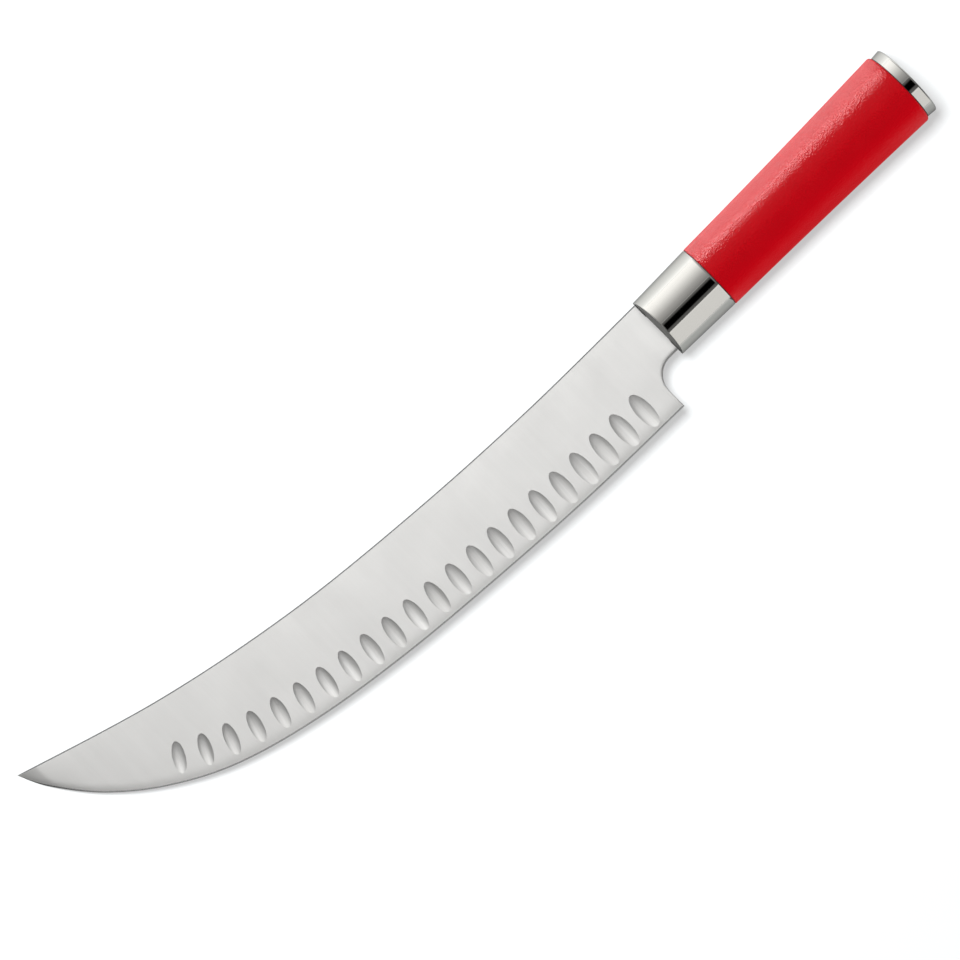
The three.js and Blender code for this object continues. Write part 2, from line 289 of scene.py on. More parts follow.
def settle(piece, node_name):
    """The finished piece takes its place in the frame."""
    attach(piece, "root")
    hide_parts(node_name)


# Helpers for nodes

def add_node(tree, kind, inputs=None, **settings):
    """A new node with its settings, and with values or links on the named inputs."""
    made = tree.nodes.new(kind)
    for name, value in settings.items():
        setattr(made, name, value)
    for name, value in (inputs or {}).items():
        if isinstance(value, bpy.types.NodeSocket):
            tree.links.new(value, made.inputs[name])
        else:
            made.inputs[name].default_value = value
    return made


def math_node(tree, operation, *values):
    return add_node(tree, "ShaderNodeMath", dict(enumerate(values)), operation=operation).outputs[0]


def vector_node(tree, operation, inputs):
    return add_node(tree, "ShaderNodeVectorMath", inputs, operation=operation).outputs


def ramp(tree, factor, stops):
    """Grey ramp through (place, level) stops."""
    made = add_node(tree, "ShaderNodeValToRGB", {"Fac": factor})
    elements = made.color_ramp.elements
    while len(elements) < len(stops):
        elements.new(0.5)
    for element, (place, level) in zip(elements, stops):
        element.position = place
        element.color = (level, level, level, 1)
    return made.outputs["Color"]


def by_value(tree, value, stops):
    """A level that follows a value through (value, level) stops."""
    low, high = stops[0][0], stops[-1][0]
    brightest = max(level for _, level in stops)
    span = {"Value": value, "From Min": low, "From Max": high}
    share = add_node(tree, "ShaderNodeMapRange", span).outputs["Result"]
    shares = [((place - low) / (high - low), level / brightest) for place, level in stops]
    return math_node(tree, "MULTIPLY", ramp(tree, share, shares), brightest)


def new_tree(name, kind, sockets):
    """A node group with named sockets: (name, direction, type, default)."""
    tree = bpy.data.node_groups.new(name, kind)
    for title, direction, socket_type, default in sockets:
        socket = tree.interface.new_socket(title, in_out=direction, socket_type=socket_type)
        if default is not None:
            socket.default_value = default
    return tree


# Effects that several finishes share

def knife_coordinates(tree):
    """Place on the knife in its own datum, in millimetres."""
    place = add_node(tree, "ShaderNodeTexCoord")
    mapping = add_node(tree, "ShaderNodeMapping", {
        "Vector": place.outputs["Object"],
        "Location": ORIGIN,
        "Rotation": TURN.to_euler(),
        "Scale": (MM, MM, MM),
    }, vector_type="TEXTURE")
    return mapping.outputs["Vector"]


def stretched(tree, vector, along, across):
    """Coordinates scaled along the knife and across it."""
    scale = add_node(tree, "ShaderNodeCombineXYZ", {"X": along, "Y": across, "Z": across})
    return vector_node(tree, "MULTIPLY", {0: vector, 1: scale.outputs[0]})[0]


def tool_lines_group():
    """Fine lines left by grinding or turning, one beside the other along the line axis."""
    tree = new_tree("tool_lines", "ShaderNodeTree", [
        ("Line Axis", "INPUT", "NodeSocketVector", ALONG),
        ("Lines per mm", "INPUT", "NodeSocketFloat", 3.0),
        ("Breaks per mm", "INPUT", "NodeSocketFloat", 0.05),
        ("Height", "OUTPUT", "NodeSocketFloat", None),
        ("Shade", "OUTPUT", "NodeSocketFloat", None),
    ])
    given = add_node(tree, "NodeGroupInput").outputs
    here = add_node(tree, "ShaderNodeTexCoord").outputs["Object"]
    metres = vector_node(tree, "DOT_PRODUCT", {0: here, 1: given["Line Axis"]})["Value"]
    beside = math_node(tree, "DIVIDE", metres, MM)
    knife = add_node(tree, "ShaderNodeSeparateXYZ", {"Vector": knife_coordinates(tree)}).outputs
    place = add_node(tree, "ShaderNodeCombineXYZ", {"X": beside, "Y": knife["Y"], "Z": knife["Z"]}).outputs[0]
    fine = add_node(tree, "ShaderNodeTexNoise", {
        "Vector": stretched(tree, place, given["Lines per mm"], given["Breaks per mm"]),
        "Scale": 1.0, "Detail": 3.0, "Roughness": 0.7,
    })
    broad = add_node(tree, "ShaderNodeTexNoise", {
        "Vector": stretched(tree, place, 0.35, 0.02), "Scale": 1.0, "Detail": 2.0, "Roughness": 0.6,
    })
    shade = math_node(tree, "MULTIPLY_ADD", broad.outputs["Fac"], 0.6,
                      math_node(tree, "MULTIPLY", fine.outputs["Fac"], 0.4))
    add_node(tree, "NodeGroupOutput", {"Height": fine.outputs["Fac"], "Shade": shade})
    return tree


def handling_group():
    """Faint smudges and hairline scratches from use."""
    tree = new_tree("handling", "ShaderNodeTree", [
        ("Smudges per mm", "INPUT", "NodeSocketFloat", 0.06),
        ("Smudge", "OUTPUT", "NodeSocketFloat", None),
        ("Scratch", "OUTPUT", "NodeSocketFloat", None),
    ])
    given = add_node(tree, "NodeGroupInput").outputs
    place = knife_coordinates(tree)
    cloud = add_node(tree, "ShaderNodeTexNoise", {
        "Vector": place, "Scale": given["Smudges per mm"], "Detail": 4.0, "Roughness": 0.6, "Distortion": 0.4,
    })
    hair = add_node(tree, "ShaderNodeTexNoise", {
        "Vector": stretched(tree, place, 0.09, 2.4), "Scale": 1.0, "Detail": 2.0, "Distortion": 0.3,
    })
    scratch = ramp(tree, hair.outputs["Fac"], [(0.0, 0.0), (0.68, 0.0), (0.74, 1.0)])
    add_node(tree, "NodeGroupOutput", {"Smudge": cloud.outputs["Fac"], "Scratch": scratch})
    return tree


def moulded_grain_group():
    """Fine pebbled grain of a moulding tool."""
    tree = new_tree("moulded_grain", "ShaderNodeTree", [
        ("Grains per mm", "INPUT", "NodeSocketFloat", 2.0),
        ("Height", "OUTPUT", "NodeSocketFloat", None),
        ("Cloud", "OUTPUT", "NodeSocketFloat", None),
    ])
    given = add_node(tree, "NodeGroupInput").outputs
    place = knife_coordinates(tree)
    pebbles = add_node(tree, "ShaderNodeTexVoronoi", {
        "Vector": place, "Scale": given["Grains per mm"], "Smoothness": 0.6, "Randomness": 1.0,
    }, feature="SMOOTH_F1")
    fine = add_node(tree, "ShaderNodeTexNoise", {
        "Vector": place, "Scale": given["Grains per mm"], "Detail": 3.0, "Roughness": 0.6,
    })
    cloud = add_node(tree, "ShaderNodeTexNoise", {"Vector": place, "Scale": 0.12, "Detail": 3.0})
    height = math_node(tree, "MULTIPLY_ADD", fine.outputs["Fac"], 0.6, pebbles.outputs["Distance"])
    add_node(tree, "NodeGroupOutput", {"Height": height, "Cloud": cloud.outputs["Fac"]})
    return tree


TOOL_LINES = tool_lines_group()
HANDLING = handling_group()
MOULDED_GRAIN = moulded_grain_group()


# Finishes

def new_finish(name):
    """A new material: (material, node tree, shader)."""
    material = bpy.data.materials.new(name)
    material.use_nodes = True
    return material, material.node_tree, material.node_tree.nodes["Principled BSDF"]


def effect(tree, group, inputs):
    """A shared effect with its own values."""
    return add_node(tree, "ShaderNodeGroup", inputs, node_tree=group).outputs


def between(tree, factor, low, high):
    """A value that runs from low to high with the factor."""
    made = add_node(tree, "ShaderNodeMapRange", {"Value": factor, "To Min": low, "To Max": high})
    return made.outputs["Result"]


def tint(tree, factor, dark, light):
    """A colour that runs from dark to light with the factor."""
    ends = {"Factor": factor, 6: (*dark, 1), 7: (*light, 1)}
    return add_node(tree, "ShaderNodeMix", ends, data_type="RGBA").outputs[2]


def level_mix(tree, factor, low, high):
    """A level that is low where the factor is 0 and high where it is 1."""
    return add_node(tree, "ShaderNodeMix", {"Factor": factor, "A": low, "B": high}).outputs[0]


def bump(tree, shader, height, depth, strength):
    """Relief of the given depth in millimetres."""
    made = add_node(tree, "ShaderNodeBump", {"Height": height, "Distance": depth * MM, "Strength": strength})
    tree.links.new(made.outputs["Normal"], shader.inputs["Normal"])


def steel(name, dark, light, roughness, lines, breaks, relief, anisotropy=0.0, line_axis=None, rim=1.0):
    """Steel with tool lines and traces of handling; its tool lines lie side by side along the line axis."""
    material, tree, shader = new_finish(name)
    if line_axis:
        axis = add_node(tree, "ShaderNodeAttribute", attribute_name=line_axis).outputs["Vector"]
    else:
        axis = add_node(tree, "ShaderNodeCombineXYZ", dict(zip("XYZ", ALONG))).outputs[0]
    marks = effect(tree, TOOL_LINES, {"Line Axis": axis, "Lines per mm": lines, "Breaks per mm": breaks})
    use = effect(tree, HANDLING, {})
    shader.inputs["Metallic"].default_value = 1.0
    shader.inputs["Specular Tint"].default_value = (rim, rim, rim, 1)
    tree.links.new(tint(tree, marks["Shade"], dark, light), shader.inputs["Base Color"])
    worn = math_node(tree, "MULTIPLY_ADD", use["Scratch"], 0.15, use["Smudge"])
    tree.links.new(between(tree, worn, *roughness), shader.inputs["Roughness"])
    bump(tree, shader, marks["Height"], relief, 0.5)
    if anisotropy:
        shader.inputs["Anisotropic"].default_value = anisotropy
        tree.links.new(axis, shader.inputs["Tangent"])
    return material


def moulding(name, dark, light, roughness, grains, relief, specular, glance=0.0):
    """Plastic or rubber with a moulded grain, rougher at a glancing view."""
    material, tree, shader = new_finish(name)
    grain = effect(tree, MOULDED_GRAIN, {"Grains per mm": grains})
    use = effect(tree, HANDLING, {})
    shader.inputs["Specular IOR Level"].default_value = specular
    tree.links.new(tint(tree, grain["Cloud"], dark, light), shader.inputs["Base Color"])
    facing = add_node(tree, "ShaderNodeLayerWeight", {"Blend": 0.5}).outputs["Facing"]
    smudged = between(tree, use["Smudge"], *roughness)
    tree.links.new(math_node(tree, "MULTIPLY_ADD", facing, glance, smudged), shader.inputs["Roughness"])
    bump(tree, shader, grain["Height"], relief, 0.9)
    return material


BLADE_STEEL = steel(
    "blade_steel", dark=(0.7, 0.695, 0.68), light=(0.78, 0.775, 0.76), roughness=(0.3, 0.36),
    lines=3.2, breaks=0.05, relief=0.006, anisotropy=0.6)
SCALLOP_STEEL = steel(
    "scallop_steel", dark=(0.42, 0.415, 0.4), light=(0.96, 0.955, 0.94), roughness=(0.3, 0.38),
    lines=1.3, breaks=0.04, relief=0.02, anisotropy=0.6, line_axis="row_tangent")
# Honed bevel: a finer, smoother finish whose colour is darkened well below steel's as painted shade, drawing
# the dark line along the cutting edge.
HONED_STEEL_PAINTED_SHADE = steel(
    "honed_steel_painted_shade", dark=(0.3, 0.3, 0.3), light=(0.4, 0.4, 0.4), roughness=(0.2, 0.28),
    lines=5.0, breaks=0.4, relief=0.006)
# Spine rounding, and the foot round tang, neck and hollow: a rougher finish whose colour is darkened as
# painted shade, drawing the dark lines along the spine and the choil.
SPINE_STEEL_PAINTED_SHADE = steel(
    "spine_steel_painted_shade", dark=(0.26, 0.26, 0.26), light=(0.36, 0.36, 0.36), roughness=(0.4, 0.5),
    lines=2.0, breaks=0.2, relief=0.01)
POLISHED_STEEL = steel(
    "polished_steel", dark=(0.7, 0.685, 0.645), light=(0.74, 0.725, 0.685), roughness=(0.04, 0.09),
    lines=4.0, breaks=0.02, relief=0.0005, rim=0.45)
# Collar's front face: a rougher finish whose colour is darkened as painted shade, drawing the dark crescent
# where the collar meets the blade.
FACED_STEEL_PAINTED_SHADE = steel(
    "faced_steel_painted_shade", dark=(0.36, 0.36, 0.35), light=(0.42, 0.42, 0.41), roughness=(0.4, 0.5),
    lines=3.0, breaks=0.3, relief=0.006)
ROD_STEEL = steel(
    "rod_steel", dark=(0.42, 0.42, 0.42), light=(0.56, 0.56, 0.57), roughness=(0.28, 0.42),
    lines=2.0, breaks=0.02, relief=0.01)
GRIP_PLASTIC = moulding(
    "grip_plastic", dark=(0.5, 0.0015, 0.006), light=(0.56, 0.0025, 0.008), roughness=(0.15, 0.2),
    grains=1.7, relief=0.1, specular=0.22, glance=0.5)
GASKET_RUBBER = moulding(
    "gasket_rubber", dark=(0.016, 0.015, 0.015), light=(0.03, 0.028, 0.028), roughness=(0.55, 0.7),
    grains=3.0, relief=0.03, specular=0.5)
BUSH_PLASTIC = moulding(
    "bush_plastic", dark=(0.03, 0.03, 0.03), light=(0.05, 0.05, 0.05), roughness=(0.45, 0.6),
    grains=1.5, relief=0.03, specular=0.5)


# Blade

SPINE = smooth_through([
    (share * BLADE_LENGTH, -mix(SPINE_HEIGHT, TIP_RISE, rise)) for share, rise in SPINE_COURSE])
EDGE = smooth_through([
    (share * BLADE_LENGTH, mix(HEEL_DEPTH, -TIP_RISE, rise)) for share, rise in EDGE_COURSE])


def spine_y(x):
    return float(np.interp(x, SPINE[:, 0], SPINE[:, 1]))


def edge_y(x):
    return float(np.interp(x, EDGE[:, 0], EDGE[:, 1]))


def edge_inward(x):
    """Direction from the cutting edge into the blade, square to the edge."""
    reach = 0.2
    ahead, behind = min(x + reach, BLADE_LENGTH), x - reach
    tangent = Vector((ahead - behind, edge_y(ahead) - edge_y(behind))).normalized()
    return Vector((tangent.y, -tangent.x))


def point_share(x):
    """How much of the full section is left where the blade runs out into its point."""
    return min(1, max(0, edge_y(x) - spine_y(x)) / POINT_LENGTH)


def flank_half(place):
    """Half thickness of the blade at a place in its side view."""
    x, y = place
    along = min(1, max(0, x / BLADE_LENGTH))
    height = edge_y(x) - spine_y(x)
    down = min(1, max(0, (y - spine_y(x)) / height)) if height > 0 else 0
    spine_half = mix(SPINE_THICKNESS, TIP_THICKNESS, along) / 2
    rise = min(1, height * (1 - down) / EDGE_SWELL_REACH)
    swell = EDGE_SWELL * (1 - (1 - rise) ** 2)
    ground = mix(spine_half - EDGE_SWELL, EDGE_THICKNESS / 2, down ** FLANK_POWER) + swell
    return mix(spine_half, ground, smoothstep(x, 0, HEEL_SETBACK)) * point_share(x)


def blade_ring(top, rim, foot, honed):
    """Closed ring of points: down the near flank from the spine, round the foot and up the far flank."""
    lean = (rim - top).normalized() if rim != top else Vector((0, 1))
    rounding = SPINE_ROUND * point_share(top.x)
    inner = top + lean * rounding
    near = []
    for step in range(ROUND_STEPS):
        angle = step / ROUND_STEPS * math.pi / 2
        place = top + lean * rounding * (1 - math.cos(angle))
        near.append((*place, max(0, flank_half(inner) - rounding * (1 - math.sin(angle)))))
    for row in range(FLANK_ROWS + 1):
        place = inner.lerp(rim, row / FLANK_ROWS)
        near.append((*place, flank_half(place)))
    rim_half = near[-1][2]
    for step in range(1, FOOT_STEPS + 1):
        if honed:
            share = step / (FOOT_STEPS + 1)
            near.append((*rim.lerp(foot, share), rim_half * (1 - share)))
        else:
            angle = step / FOOT_STEPS * math.pi / 2
            drop = min((foot - rim).length, CHOIL_DEPTH * rim_half) * (1 - math.cos(angle))
            near.append((*rim.lerp(foot, math.sin(angle)), rim_half - drop))
    far = [(x, y, -z) for x, y, z in reversed(near)]
    return [*near, (*foot, 0), *far]


def straight_ring(x, low, high):
    """Ring round the tang, with lightly broken edges."""
    foot = Vector((x, high))
    ring = blade_ring(Vector((x, low)), foot - Vector((0, SPINE_ROUND)), foot, False)
    return [(along, across, through * TANG_SHARE) for along, across, through in ring]


def neck_rings():
    """Rings from the collar along the neck, round the hollow and down the back of the heel."""
    hollow = Vector((HEEL_SETBACK - CHOIL_RADIUS, NECK_DEPTH + CHOIL_RADIUS))
    feet = []
    for x in np.linspace(0, hollow.x, NECK_STEPS + 1)[:-1]:
        feet.append((Vector((x, NECK_DEPTH)), Vector((0, -1)), 0))
    for angle in np.linspace(-math.pi / 2, 0, CHOIL_STEPS):
        outward = Vector((math.cos(angle), math.sin(angle)))
        feet.append((hollow + outward * CHOIL_RADIUS, outward, 0))
    for share in np.linspace(0, 1, HEEL_STEPS + 1)[1:-1]:
        y = mix(hollow.y, edge_y(HEEL_SETBACK), share)
        feet.append((Vector((HEEL_SETBACK, y)), Vector((1, 0)), share))
    rings = []
    for foot, inward, lean in feet:
        rim = foot + inward * CHOIL_ROUND * flank_half(foot)
        top_x = rim.x + lean * HEEL_FAN
        rings.append(blade_ring(Vector((top_x, spine_y(top_x))), rim, foot, False))
    return rings


def edge_rings():
    """Rings along the cutting edge, heel to tip, closer together towards the tip."""
    rings = []
    for station in range(EDGE_STATIONS + 1):
        share = station / EDGE_STATIONS
        crowded = mix(share, math.sin(share * math.pi / 2), TIP_CROWDING)
        x = mix(HEEL_SETBACK, BLADE_LENGTH, crowded)
        foot = Vector((x, edge_y(x)))
        rim = foot + edge_inward(x) * BEVEL_HEIGHT * point_share(x)
        if station == 0:
            rim.x += HEEL_CORNER * flank_half(foot)
        lean = HEEL_FAN * (1 - smoothstep(x, HEEL_SETBACK, HEEL_SETBACK + HEEL_FAN_REACH))
        top_x = min(rim.x + lean, BLADE_LENGTH)
        rings.append(blade_ring(Vector((top_x, spine_y(top_x))), rim, foot, True))
    return rings


def blade_blank():
    """Blade and tang in one piece, before the scallops are ground."""
    tang = [
        straight_ring(TANG_END, -TANG_TAIL / 2, TANG_TAIL / 2),
        straight_ring(TANG_SHOULDER, -TANG_TAIL / 2, TANG_TAIL / 2),
        straight_ring(TANG_SHOULDER, -TANG_HEIGHT / 2, TANG_HEIGHT / 2),
        straight_ring(0, -TANG_HEIGHT / 2, TANG_HEIGHT / 2),
    ]
    neck = neck_rings()
    edge = edge_rings()
    points, faces = lofted([*tang, *neck, *edge], closed=False)
    blank = new_piece("blade_blank", points, faces)
    mesh = blank.data
    for finish in (BLADE_STEEL, HONED_STEEL_PAINTED_SHADE, SPINE_STEEL_PAINTED_SHADE):
        mesh.materials.append(finish)
    sides = len(edge[0])
    first_honed = len(tang) + len(neck)
    for index, face in enumerate(mesh.polygons):
        ring, side = divmod(index, sides)
        at_spine = side < ROUND_STEPS or side >= sides - ROUND_STEPS - 1
        from_foot = abs(side - sides // 2 + 0.5)
        if ring >= first_honed and from_foot < FOOT_STEPS + 1:
            # Honed bevel: the darkened honed finish, painted shade.
            face.material_index = 1
        elif at_spine or from_foot < FOOT_STEPS / 3:
            # Spine rounding and the foot of tang, neck and hollow: the darkened spine finish, painted shade.
            face.material_index = 2
    close_mesh(mesh)
    return blank


def scallop_row():
    """Curve through the middles of the scallops, set in from the cutting edge, from the heel on."""
    points = []
    for x in np.linspace(0, BLADE_LENGTH, ROW_POINTS):
        inset = mix(SCALLOP_INSET_HEEL, SCALLOP_INSET_TIP, x / BLADE_LENGTH)
        points.append(Vector((x, edge_y(x))) + edge_inward(x) * inset)
    curve = bpy.data.curves.new("scallop_row", "CURVE")
    curve.dimensions = "3D"
    spline = curve.splines.new("POLY")
    spline.points.add(len(points) - 1)
    for knot, point in zip(spline.points, points):
        knot.co = (*(KNIFE @ Vector((*point, 0))), 1)
    row = new_object("scallop_row", curve)
    length = sum((second - first).length for first, second in zip(points, points[1:]))
    return row, length


def wheels_on_flank(tree, given, side, stagger):
    """Grinding wheels along the row on one flank, square to row and flank, and smaller towards the tip."""
    row = add_node(tree, "GeometryNodeObjectInfo", {"Object": given["Row"]}).outputs["Geometry"]
    points = add_node(tree, "GeometryNodePoints", {"Count": given["Count"]}).outputs[0]
    index = add_node(tree, "GeometryNodeInputIndex").outputs[0]
    start = math_node(tree, "MULTIPLY_ADD", given["Pitch"], stagger, given["First"])
    length = math_node(tree, "MULTIPLY_ADD", index, given["Pitch"], start)
    on_row = add_node(tree, "GeometryNodeSampleCurve", {"Curves": row, "Length": length},
                      mode="LENGTH", use_all_curves=True).outputs
    outward = vector_node(tree, "SCALE", {0: given["Through"], "Scale": side})[0]
    above = vector_node(tree, "SCALE", {0: outward, "Scale": PROBE_HEIGHT * MM})[0]
    high = vector_node(tree, "ADD", {0: on_row["Position"], 1: above})[0]
    inward = vector_node(tree, "SCALE", {0: outward, "Scale": -1.0})[0]
    hit = add_node(tree, "GeometryNodeRaycast", {
        "Target Geometry": given["Blank"], "Source Position": high, "Ray Direction": inward,
        "Ray Length": 2 * PROBE_HEIGHT * MM}).outputs
    whole = add_node(tree, "GeometryNodeCurveLength", {"Curve": row}).outputs[0]
    share = math_node(tree, "DIVIDE", length, whole)
    depth = add_node(tree, "ShaderNodeMapRange", {
        "Value": share, "To Min": given["Depth at Heel"], "To Max": given["Depth at Tip"]}).outputs[0]
    scale = add_node(tree, "ShaderNodeMapRange", {
        "Value": share, "To Min": 1.0, "To Max": given["Wheel at Tip"]}).outputs[0]
    height = math_node(tree, "MULTIPLY", given["Wheel Height"], scale)
    lift = math_node(tree, "SUBTRACT", height, depth)
    raised = vector_node(tree, "SCALE", {0: hit["Hit Normal"], "Scale": lift})[0]
    centre = vector_node(tree, "ADD", {0: hit["Hit Position"], 1: raised})[0]
    turn = add_node(tree, "FunctionNodeAxesToRotation", {
        "Primary Axis": hit["Hit Normal"], "Secondary Axis": on_row["Tangent"]},
        primary_axis="Z", secondary_axis="X").outputs[0]
    placed = add_node(tree, "GeometryNodeSetPosition", {"Geometry": points, "Position": centre}).outputs[0]
    placed = add_node(tree, "GeometryNodeStoreNamedAttribute", {
        "Geometry": placed, "Name": "row_tangent", "Value": on_row["Tangent"]},
        data_type="FLOAT_VECTOR", domain="POINT").outputs[0]

    def half_size(radius):
        return math_node(tree, "SQRT", math_node(tree, "MULTIPLY", radius, given["Wheel Height"]))

    size = add_node(tree, "ShaderNodeCombineXYZ", {
        "X": half_size(given["Wheel Crown"]),
        "Y": half_size(given["Wheel Radius"]),
        "Z": given["Wheel Height"]}).outputs[0]
    scaled = vector_node(tree, "SCALE", {0: size, "Scale": scale})[0]
    ball = add_node(tree, "GeometryNodeMeshUVSphere", {
        "Segments": WHEEL_SIDES, "Rings": WHEEL_SIDES, "Radius": 1.0}).outputs[0]
    return add_node(tree, "GeometryNodeInstanceOnPoints", {
        "Points": placed, "Instance": ball, "Rotation": turn, "Scale": scaled}).outputs[0]


def rivet_drills(tree, given):
    """Drills for the rivet holes in the tang."""
    step = vector_node(tree, "SUBTRACT", {0: given["Rear Rivet"], 1: given["Front Rivet"]})[0]
    places = add_node(tree, "GeometryNodeMeshLine", {
        "Count": 2, "Start Location": given["Front Rivet"], "Offset": step}, mode="OFFSET").outputs[0]
    drill = add_node(tree, "GeometryNodeMeshCylinder", {
        "Vertices": DRILL_SIDES, "Radius": given["Rivet Hole"], "Depth": DRILL_LENGTH * MM}).outputs["Mesh"]
    turn = add_node(tree, "FunctionNodeAlignRotationToVector", {
        "Vector": given["Through"]}, axis="Z").outputs[0]
    return add_node(tree, "GeometryNodeInstanceOnPoints", {
        "Points": places, "Instance": drill, "Rotation": turn}).outputs[0]


def grinding_tree():
    """Grinds both rows of scallops and drills the tang."""
    tree = new_tree("scallop_grinding", "GeometryNodeTree", [
        ("Blank", "INPUT", "NodeSocketGeometry", None),
        ("Row", "INPUT", "NodeSocketObject", None),
        ("Count", "INPUT", "NodeSocketInt", 20),
        ("Pitch", "INPUT", "NodeSocketFloat", 0.01),
        ("First", "INPUT", "NodeSocketFloat", 0.02),
        ("Depth at Heel", "INPUT", "NodeSocketFloat", 0.0003),
        ("Depth at Tip", "INPUT", "NodeSocketFloat", 0.0002),
        ("Wheel Radius", "INPUT", "NodeSocketFloat", 0.08),
        ("Wheel Crown", "INPUT", "NodeSocketFloat", 0.01),
        ("Wheel Height", "INPUT", "NodeSocketFloat", 0.002),
        ("Wheel at Tip", "INPUT", "NodeSocketFloat", 1.0),
        ("Through", "INPUT", "NodeSocketVector", (0.0, 0.0, 1.0)),
        ("Front Rivet", "INPUT", "NodeSocketVector", None),
        ("Rear Rivet", "INPUT", "NodeSocketVector", None),
        ("Rivet Hole", "INPUT", "NodeSocketFloat", 0.001),
        ("Scallop Finish", "INPUT", "NodeSocketMaterial", None),
        ("Blade", "OUTPUT", "NodeSocketGeometry", None),
    ])
    given = add_node(tree, "NodeGroupInput").outputs
    wheels = add_node(tree, "GeometryNodeJoinGeometry")
    for side, stagger in ((1.0, 0.0), (-1.0, -0.5)):
        tree.links.new(wheels_on_flank(tree, given, side, stagger), wheels.inputs[0])
    wheels = add_node(tree, "GeometryNodeRealizeInstances", {"Geometry": wheels.outputs[0]})
    tangent = add_node(tree, "GeometryNodeInputNamedAttribute", {
        "Name": "row_tangent"}, data_type="FLOAT_VECTOR")
    turned = add_node(tree, "GeometryNodeStoreNamedAttribute", {
        "Geometry": wheels.outputs[0], "Name": "row_tangent", "Value": tangent.outputs["Attribute"]},
        data_type="FLOAT_VECTOR", domain="FACE")
    marked = add_node(tree, "GeometryNodeStoreNamedAttribute", {
        "Geometry": turned.outputs[0], "Name": "wheel_ground", "Value": True},
        data_type="BOOLEAN", domain="FACE")
    drills = add_node(tree, "GeometryNodeRealizeInstances", {"Geometry": rivet_drills(tree, given)})
    cut = add_node(tree, "GeometryNodeMeshBoolean", {"Mesh 1": given["Blank"]},
                   operation="DIFFERENCE", solver="MANIFOLD")
    tree.links.new(marked.outputs[0], cut.inputs["Mesh 2"])
    tree.links.new(drills.outputs[0], cut.inputs["Mesh 2"])
    ground = add_node(tree, "GeometryNodeInputNamedAttribute", {"Name": "wheel_ground"}, data_type="BOOLEAN")
    finished = add_node(tree, "GeometryNodeSetMaterial", {
        "Geometry": cut.outputs["Mesh"], "Selection": ground.outputs["Attribute"],
        "Material": given["Scallop Finish"]})
    add_node(tree, "NodeGroupOutput", {"Blade": finished.outputs[0]})
    return tree


def grind_blade():
    """The blade with its scallops and its drilled tang, as one mesh."""
    blank = blade_blank()
    row, row_length = scallop_row()
    first = HEEL_SETBACK + FIRST_SCALLOP
    values = {
        "Row": row,
        "Count": math.ceil((row_length - BARE_ROW - first) / SCALLOP_PITCH),
        "Pitch": SCALLOP_PITCH * MM,
        "First": first * MM,
        "Depth at Heel": SCALLOP_DEPTH_HEEL * MM,
        "Depth at Tip": SCALLOP_DEPTH_TIP * MM,
        "Wheel Radius": WHEEL_RADIUS * MM,
        "Wheel Crown": WHEEL_CROWN * MM,
        "Wheel Height": WHEEL_HEIGHT * MM,
        "Wheel at Tip": WHEEL_AT_TIP,
        "Through": THROUGH,
        "Front Rivet": KNIFE @ Vector((RIVET_FRONT, 0, 0)),
        "Rear Rivet": KNIFE @ Vector((RIVET_REAR, 0, 0)),
        "Rivet Hole": RIVET_HOLE * MM,
        "Scallop Finish": SCALLOP_STEEL,
    }
    tree = grinding_tree()
    grinding = blank.modifiers.new("scallop_grinding", "NODES")
    grinding.node_group = tree
    sockets = {item.name: item.identifier for item in tree.interface.items_tree if item.in_out == "INPUT"}
    for name, value in values.items():
        grinding[sockets[name]] = value
    seen = blank.evaluated_get(bpy.context.evaluated_depsgraph_get())
    mesh = bpy.data.meshes.new_from_object(seen)
    mesh.name = "blade_ground"
    blade = new_object("blade_ground", mesh)
    bpy.data.objects.remove(blank)
    bpy.data.objects.remove(row)
    shade_smooth(mesh, BLADE_CREASE)
    settle(blade, "blade")
    return blade


# Turned pieces

def turned_ring(x, radius):
    """Points round the handle axis."""
    angles = np.linspace(0, 2 * math.pi, TURNED_SIDES, endpoint=False)
    return [(x, radius * math.cos(angle), radius * math.sin(angle)) for angle in angles]


def rounded_corner(x, radius, size, from_rear):
    """Profile points round an outer rim, in the order rear to front or the other way."""
    sign = 1 if from_rear else -1
    steps = [step / ROUND_STEPS * math.pi / 2 for step in range(ROUND_STEPS + 1)]
    points = [(x + sign * size * (1 - math.sin(angle)), radius - size * (1 - math.cos(angle)))
              for angle in reversed(steps)]
    return points if from_rear else points[::-1]


def supports(first, last):
    """Two points close to the ends of a straight stretch, which keep its shading straight."""
    return [tuple(mix(start, end, share) for start, end in zip(first, last)) for share in SUPPORT_SHARES]


def turn_piece(name, node_name, finish, profile, closed):
    """A piece turned from (x, radius) points."""
    points, faces = lofted([turned_ring(x, radius) for x, radius in profile], closed)
    piece = new_piece(name, points, faces)
    close_mesh(piece.data)
    piece.data.materials.append(finish)
    shade_smooth(piece.data, TURNED_CREASE)
    settle(piece, node_name)
    return piece


